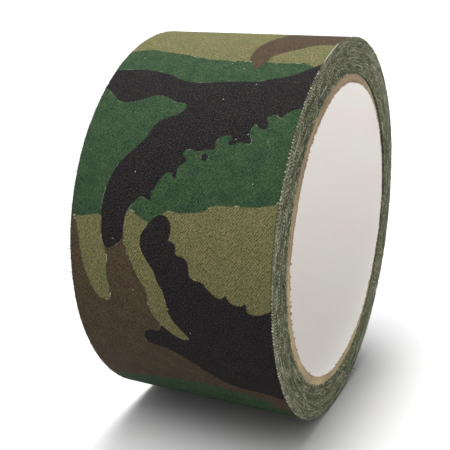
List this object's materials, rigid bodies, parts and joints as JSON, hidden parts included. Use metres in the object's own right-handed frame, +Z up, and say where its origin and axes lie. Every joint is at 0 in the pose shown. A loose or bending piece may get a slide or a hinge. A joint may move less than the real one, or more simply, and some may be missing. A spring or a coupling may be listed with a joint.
{
  "type": "duct tape roll",
  "caption": "Roll of camouflage cloth duct tape wound on a cardboard core, with a free end that peels back from the roll.",
  "frame": {"origin": "centre of the core's bore, half way along its width", "axes": "+Y along the roll's axis, +Z up as the roll stands on its rim; the end of the tape lies on the +X side"},
  "size_m": [0.0986, 0.0508, 0.0987],
  "materials": {
    "liner_paper": "matte",
    "kraft_board": "matte",
    "tape_edge": "matte",
    "adhesive": "satin",
    "printed_cloth": "matte"
  },
  "bodies": {
    "roll": {"core_liner": "liner_paper", "core_ply_1": "kraft_board", "core_ply_2": "kraft_board", "core_ply_3": "kraft_board", "core_ply_4": "kraft_board", "core_ply_5": "kraft_board", "tape_wound_turns": "tape_edge", "tape_outer_adhesive": "adhesive", "tape_outer_cloth": "printed_cloth"},
    "tape_end_1": {"tape_end_1_cloth": "printed_cloth", "tape_end_1_adhesive": "adhesive"},
    "tape_end_2": {"tape_end_2_cloth": "printed_cloth", "tape_end_2_adhesive": "adhesive"},
    "tape_end_3": {"tape_end_3_cloth": "printed_cloth", "tape_end_3_adhesive": "adhesive"},
    "tape_end_4": {"tape_end_4_cloth": "printed_cloth", "tape_end_4_adhesive": "adhesive"},
    "tape_end_5": {"tape_end_5_cloth": "printed_cloth", "tape_end_5_adhesive": "adhesive"},
    "tape_end_6": {"tape_end_6_cloth": "printed_cloth", "tape_end_6_adhesive": "adhesive"}
  },
  "joints": [
    {"name": "peel_1", "type": "hinge", "parent": "roll", "child": "tape_end_1", "pos_m": [0.02626, 0, 0.04192], "axis": [0, -1, 0], "range_deg": [0, 20]},
    {"name": "peel_2", "type": "hinge", "parent": "tape_end_1", "child": "tape_end_2", "pos_m": [0.03151, 0, 0.03815], "axis": [0, -1, 0], "range_deg": [0, 20]},
    {"name": "peel_3", "type": "hinge", "parent": "tape_end_2", "child": "tape_end_3", "pos_m": [0.03622, 0, 0.03372], "axis": [0, -1, 0], "range_deg": [0, 20]},
    {"name": "peel_4", "type": "hinge", "parent": "tape_end_3", "child": "tape_end_4", "pos_m": [0.04031, 0, 0.02871], "axis": [0, -1, 0], "range_deg": [0, 20]},
    {"name": "peel_5", "type": "hinge", "parent": "tape_end_4", "child": "tape_end_5", "pos_m": [0.04371, 0, 0.02321], "axis": [0, -1, 0], "range_deg": [0, 20]},
    {"name": "peel_6", "type": "hinge", "parent": "tape_end_5", "child": "tape_end_6", "pos_m": [0.04637, 0, 0.01731], "axis": [0, -1, 0], "range_deg": [0, 20]}
  ],
  "couplings": [
    {"joint": "peel_2", "follows": "peel_1", "ratio": 1},
    {"joint": "peel_3", "follows": "peel_1", "ratio": 1},
    {"joint": "peel_4", "follows": "peel_1", "ratio": 1},
    {"joint": "peel_5", "follows": "peel_1", "ratio": 1},
    {"joint": "peel_6", "follows": "peel_1", "ratio": 1}
  ]
}
